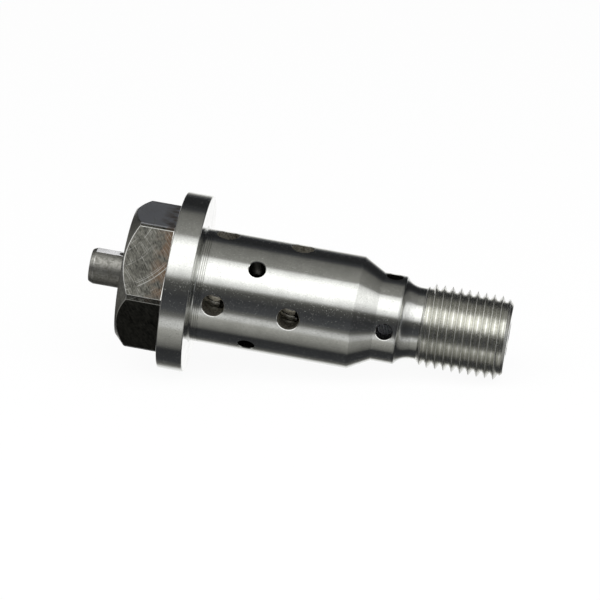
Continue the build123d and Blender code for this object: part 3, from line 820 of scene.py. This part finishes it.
turn_through(
    nose, (NOSE_FLAT_END, NOSE_RADIUS), (NOSE_FLAT_END + NOSE_EDGE, NOSE_RADIUS),
    (NOSE_BACK, NOSE_RADIUS), (NOSE_BACK, NOSE_BORE),
)
use_finish(nose, DRILLED)
holed_wall(nose, NOSE_FRONT, NOSE_BACK, NOSE_BORE, (NOSE_HOLES,), inward=True)
hole_walls(nose, NOSE_HOLES, NOSE_RADIUS, NOSE_BORE, WORN, DRILLED)

# The flat on top: what stands above it is brought down, and a milled finish faces a little back
flat_lean = math.radians(NOSE_FLAT_LEAN)
flat_facing = Vector((0, math.sin(flat_lean), math.cos(flat_lean)))
lowest = flat_height - NOSE_HOLES["edge"] * 1.5             # the holes' broken edges go down too
lowered = set()
for vert in nose["bm"].verts:
    point = vert.co / MM
    excess = math.sqrt(max(NOSE_RADIUS**2 - point.y**2, 0)) - flat_height
    if excess > 0 and point.z > lowest and point.x < NOSE_FLAT_END + NOSE_EDGE / 2:
        lowered.add(vert)
        if point.x >= shoulder_x:
            vert.co.z = (point.z - excess) * MM
        elif point.z > flat_height:
            vert.co.z = flat_height * MM
for face in nose["bm"].faces:
    if all(v in lowered and abs(v.co.z / MM - flat_height) < 1e-4 for v in face.verts):
        face.material_index = nose["materials"].index(MILLED)
        for loop in face.loops:
            loop[nose["facing"]] = flat_facing
finish_skin(nose, "spool_nose_turned", "control_spool", "nose_steel", "spool_nose")


# ---- Springs: round wire with a closed, ground turn at each end --------------------------------
def coil_spring(node, wire, turns, name):
    """A wound spring in the room of its CAD node."""
    low, high = [Vector(corner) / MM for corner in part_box(node)]
    coil_radius = high.y - wire / 2
    skin, rings = new_skin(SPRING), []
    pitch = (high.x - low.x - wire * 2) / (turns - 2 * END_LAPS)
    for step in range(int(turns * WIRE_STEPS) + 1):
        angle = TURN * step / WIRE_STEPS
        laps = angle / TURN
        open_laps = min(max(laps - END_LAPS, 0), turns - 2 * END_LAPS)
        x = low.x + wire / 2 + open_laps * pitch + (laps - open_laps) * wire / (2 * END_LAPS)
        taper = GROUND_WIRE + (1 - GROUND_WIRE) * min(1, laps / END_LAPS, (turns - laps) / END_LAPS)
        ring = []
        for side in range(WIRE_SIDES):
            c, n = math.cos(TURN * side / WIRE_SIDES), math.sin(TURN * side / WIRE_SIDES)
            radius = coil_radius + wire / 2 * n
            along = min(max(x + wire / 2 * c * taper, low.x), high.x)
            ring.append((polar(along, radius, angle), polar(c, n, angle)))
        rings.append(ring)
    for ring, after in zip(rings, rings[1:]):
        for k in range(WIRE_SIDES):
            n = (k + 1) % WIRE_SIDES
            corners = [ring[k], after[k], after[n], ring[n]]
            add_face(skin, [p for p, _ in corners], [f for _, f in corners])
    for ring, side in ((rings[0][::-1], -1), (rings[-1], 1)):
        face_angle = 0 if side < 0 else TURN * turns
        facing = polar(0, 1, face_angle + TURN / 4) * side
        add_face(skin, [p for p, _ in ring], [facing] * WIRE_SIDES)
    piece = finish_skin(skin, name, "valve_housing", "spring_steel", node)
    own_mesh(piece)


coil_spring("return_spring", wire=0.7, turns=4.5, name="return_spring_wound")
coil_spring("check_spring", wire=0.2, turns=3.5, name="check_spring_wound")


# ---- Finishes of the parts that keep their own shape -------------------------------------------
FINISHES = {
    "valve_body": TURNED, "spool_nose": NOSE, "return_spring": SPRING, "check_spring": SPRING,
    "control_sleeve": SLEEVE, "check_seat": SLEEVE, "locating_pin": SLEEVE,
    "spool": SPOOL, "spool_plug": NOSE, "disc_spring": SPRING, "retaining_ring": SPRING,
    "stop_washer": STAMPED, "spring_plate": STAMPED, "load_shim": STAMPED, "check_cage": STAMPED,
    "check_ball": BALL, "filter_frame": NYLON, "filter_screen": SCREEN,
}
for name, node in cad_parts.items():
    node.data.materials.clear()
    node.data.materials.append(FINISHES[name])


# ---- Table, light tent, soft box and camera ---------------------------------------------------
MIDDLE_X = 18.0                  # mm along the bolt, where tent, lamp and camera are centred
TABLE_SIZE = 3.0
TABLE_WHITE = 0.94               # how far the camera sees the table lifted to white

# Brightness of the light tent's wall round the bolt's axis, by degrees above the front
TENT = (
    (-180, 1.15), (-143, 1.12), (-129, 0.92), (-123, 0.38), (-117, 0.14), (-104, 0.055),  # table behind, with the bolt's shadow painted on it beneath the bolt
    (-79, 0.04), (-71, 0.2), (-46, 0.5), (-40, 0.82), (-33, 0.76), (-26, 0.2), (-18, 0.09),  # and table in front, painted darker towards the bolt
    (0, 0.06), (16, 0.1), (21, 0.22),                                         # dark room in front
    (26, 0.95), (33, 1.45), (42, 2.0), (60, 2.0), (68, 1.6), (75, 1.1),       # soft box
    (79, 0.36), (96, 0.3), (113, 0.21),                                       # ceiling
    (122, 0.06), (133, 0.028), (154, 0.03), (162, 0.09), (170, 0.4),          # black flag
    (176, 1.0), (180, 1.15),                                                  # backdrop
)
TENT_MIDDLE = 19                 # degrees, about the camera's height
TENT_RADIUS = 0.9
TENT_LENGTH = 8.0
TENT_SIDES = 96
NARROW_REACH = 1.5               # m from the middle, by where the panels have drawn together
NARROWEST = 0.65                 # share of their height that is left there
DIMMEST = 0.75                   # share of their light that is left a tent's radius from the middle
TENT_END_LEVEL = 0.25            # brightness of the tent's two ends

SOFT_BOX = dict(width=0.62, length=1.8, angle=49, distance=0.6, radiance=2.6)
DAYLIGHT = 0.4                   # the white world's light on the bolt, beside 1 for what is seen of it

CAMERA_TURN = 4.23               # degrees from the bolt's front towards its thread
CAMERA_RISE = 19.5               # degrees above the bolt
CAMERA_ROLL = 8.75               # degrees
CAMERA_AIM = (0.36, 0.32)        # mm right of the bolt's middle and above it
CAMERA_DISTANCE = 800.0          # mm
CAMERA_LENS = 269.0              # mm, for a sensor this wide:
CAMERA_SENSOR = 36.0


def table_material():
    """Matt white that the camera sees lifted towards white, and nothing at all from below."""
    material, tree = new_material("matt_white_table")
    seen = add_node(tree, "ShaderNodeLightPath").outputs["Is Camera Ray"]
    behind = add_node(tree, "ShaderNodeNewGeometry").outputs["Backfacing"]
    matt = add_node(tree, "ShaderNodeBsdfDiffuse", {"Color": linear("F4F4F4")})
    white = add_node(tree, "ShaderNodeEmission", {"Strength": 1.0})
    lift = calculate(tree, "MULTIPLY", seen, TABLE_WHITE)
    lifted = add_node(tree, "ShaderNodeMixShader", {0: lift, 1: matt.outputs[0], 2: white.outputs[0]})
    clear = add_node(tree, "ShaderNodeBsdfTransparent")
    below = calculate(tree, "MULTIPLY", seen, behind)
    show(tree, "ShaderNodeMixShader", {0: below, 1: lifted.outputs[0], 2: clear.outputs[0]})
    return material


def tent_colour(share, level):
    """The ceiling and the table glow a little warm, and the black cloth a little cool."""
    red, blue = (0.97, 1.08) if level < 0.1 else (1.01, 0.95) if level < 0.6 else (1.0, 1.0)
    return share * red, share, share * blue, 1.0


def tent_material():
    """Glowing cloth. Its panels draw together round the camera's height towards both ends of the
    tent, and dim there."""
    material, tree = new_material("light_tent_cloth")
    parts = own_place(tree)[1]
    front = calculate(tree, "MULTIPLY", parts["Y"], -1.0)
    angle = calculate(tree, "ARCTAN2", parts["Z"], front)
    reach = calculate(tree, "ABSOLUTE", parts["X"])
    narrow = rescale(tree, reach, 0.0, NARROW_REACH, 1.0, NARROWEST)
    raised = calculate(tree, "SUBTRACT", angle, math.radians(TENT_MIDDLE))
    drawn = calculate(tree, "MULTIPLY_ADD", raised, narrow, math.radians(TENT_MIDDLE))
    ramp = add_node(tree, "ShaderNodeValToRGB", {0: rescale(tree, drawn, -math.pi, math.pi)})
    brightest = max(level for _, level in TENT)
    set_stops(ramp, [
        ((degrees + 180) / 360, tent_colour(level / brightest, level)) for degrees, level in TENT
    ])
    dim = rescale(tree, reach, 0.0, TENT_RADIUS, 1.0, DIMMEST)
    show(tree, "ShaderNodeEmission", {
        "Color": ramp.outputs[0], "Strength": calculate(tree, "MULTIPLY", dim, brightest),
    })
    return material


def tent_end_material():
    material, tree = new_material("light_tent_end")
    show(tree, "ShaderNodeEmission", {"Color": (0.97, 1.0, 1.04, 1.0), "Strength": TENT_END_LEVEL})
    return material


# The table touches the flange's rim and the thread's crests, so it leans against the bolt's axis
table_lean = math.atan((FLANGE_RADIUS - THREAD_RADIUS) / (thread_end - (THREAD_RADIUS - THREAD_POINT)))
half = TABLE_SIZE / 2
table_corners = [(-half, -half, 0), (half, -half, 0), (half, half, 0), (-half, half, 0)]
table_mesh = bpy.data.meshes.new("table")
table_mesh.from_pydata(table_corners, [], [(0, 1, 2, 3)])
table_mesh.materials.append(table_material())
table = link("table", table_mesh)
table_drop = Matrix.Translation((0, 0, -FLANGE_RADIUS * MM / math.cos(table_lean)))
table.matrix_world = table_drop @ Matrix.Rotation(-table_lean, 4, "Y")
# The metal sees the tent's painted table, with its painted shadow, in place of this table
table.visible_glossy = False

ring_points = [
    polar(x, TENT_RADIUS, TURN * k / TENT_SIDES)
    for x in (-TENT_LENGTH / 2, TENT_LENGTH / 2) for k in range(TENT_SIDES)
]
near_end, far_end = list(range(TENT_SIDES)), list(range(TENT_SIDES, 2 * TENT_SIDES))
walls = list(ring_pairs(near_end, far_end))
tent_mesh = bpy.data.meshes.new("light_tent")
tent_mesh.from_pydata(ring_points, [], walls + [near_end, far_end])
for cap in tent_mesh.polygons[TENT_SIDES:]:
    cap.material_index = 1
tent_mesh.materials.append(tent_material())
tent_mesh.materials.append(tent_end_material())
tent = link("light_tent", tent_mesh)
tent.location.x = MIDDLE_X * MM
tent.visible_camera = tent.visible_diffuse = tent.visible_shadow = tent.visible_transmission = False


def soft_box(width, length, angle, distance, radiance):
    """A lamp panel along the bolt that faces its axis, at an angle in degrees above the front."""
    lamp = bpy.data.lights.new("soft_box", "AREA")
    lamp.shape = "RECTANGLE"
    lamp.size, lamp.size_y = length, width
    lamp.energy = radiance * math.pi * width * length
    box = link("soft_box", lamp)
    away = Vector((0, -math.cos(math.radians(angle)), math.sin(math.radians(angle))))
    stand = Matrix.Translation(Vector((MIDDLE_X * MM, 0, 0)) + away * distance)
    box.matrix_world = (
        stand @ (-away).to_track_quat("Z", "Y").to_matrix().to_4x4() @ Matrix.Rotation(math.pi, 4, "X")
    )
    box.visible_glossy = False


soft_box(**SOFT_BOX)

world = bpy.data.worlds.new("white_studio")
bpy.context.scene.world = world
world.use_nodes = True
sky_tree = world.node_tree
sky_tree.nodes.clear()
rays = add_node(sky_tree, "ShaderNodeLightPath").outputs
seen = calculate(sky_tree, "MAXIMUM", rays["Is Camera Ray"], rays["Is Glossy Ray"])
seen = calculate(sky_tree, "MAXIMUM", seen, rays["Is Transmission Ray"])
strength = rescale(sky_tree, seen, 0.0, 1.0, DAYLIGHT, 1.0)
sky = add_node(sky_tree, "ShaderNodeBackground", {"Strength": strength})
add_node(sky_tree, "ShaderNodeOutputWorld", {"Surface": sky.outputs[0]})

# Camera: a long lens in front of the bolt and above it
azimuth, elevation, roll = (math.radians(a) for a in (CAMERA_TURN, CAMERA_RISE, CAMERA_ROLL))
back = Vector((
    math.sin(azimuth) * math.cos(elevation), -math.cos(azimuth) * math.cos(elevation), math.sin(elevation),
))
right = Vector((0, 0, 1)).cross(back).normalized()
up = back.cross(right)
turned_right = right * math.cos(roll) + up * math.sin(roll)
turned_up = up * math.cos(roll) - right * math.sin(roll)
lens = bpy.data.cameras.new("camera")
lens.sensor_width = CAMERA_SENSOR
lens.lens = CAMERA_LENS
lens.clip_start, lens.clip_end = 0.05, 20.0
camera = link("camera", lens)
aim = Vector((MIDDLE_X, 0, 0)) + turned_right * CAMERA_AIM[0] + turned_up * CAMERA_AIM[1]
axes = Matrix((turned_right, turned_up, back)).transposed().to_4x4()
camera.matrix_world = Matrix.Translation((aim + back * CAMERA_DISTANCE) * MM) @ axes
bpy.context.scene.camera = camera

bpy.context.scene.view_settings.view_transform = "Standard"
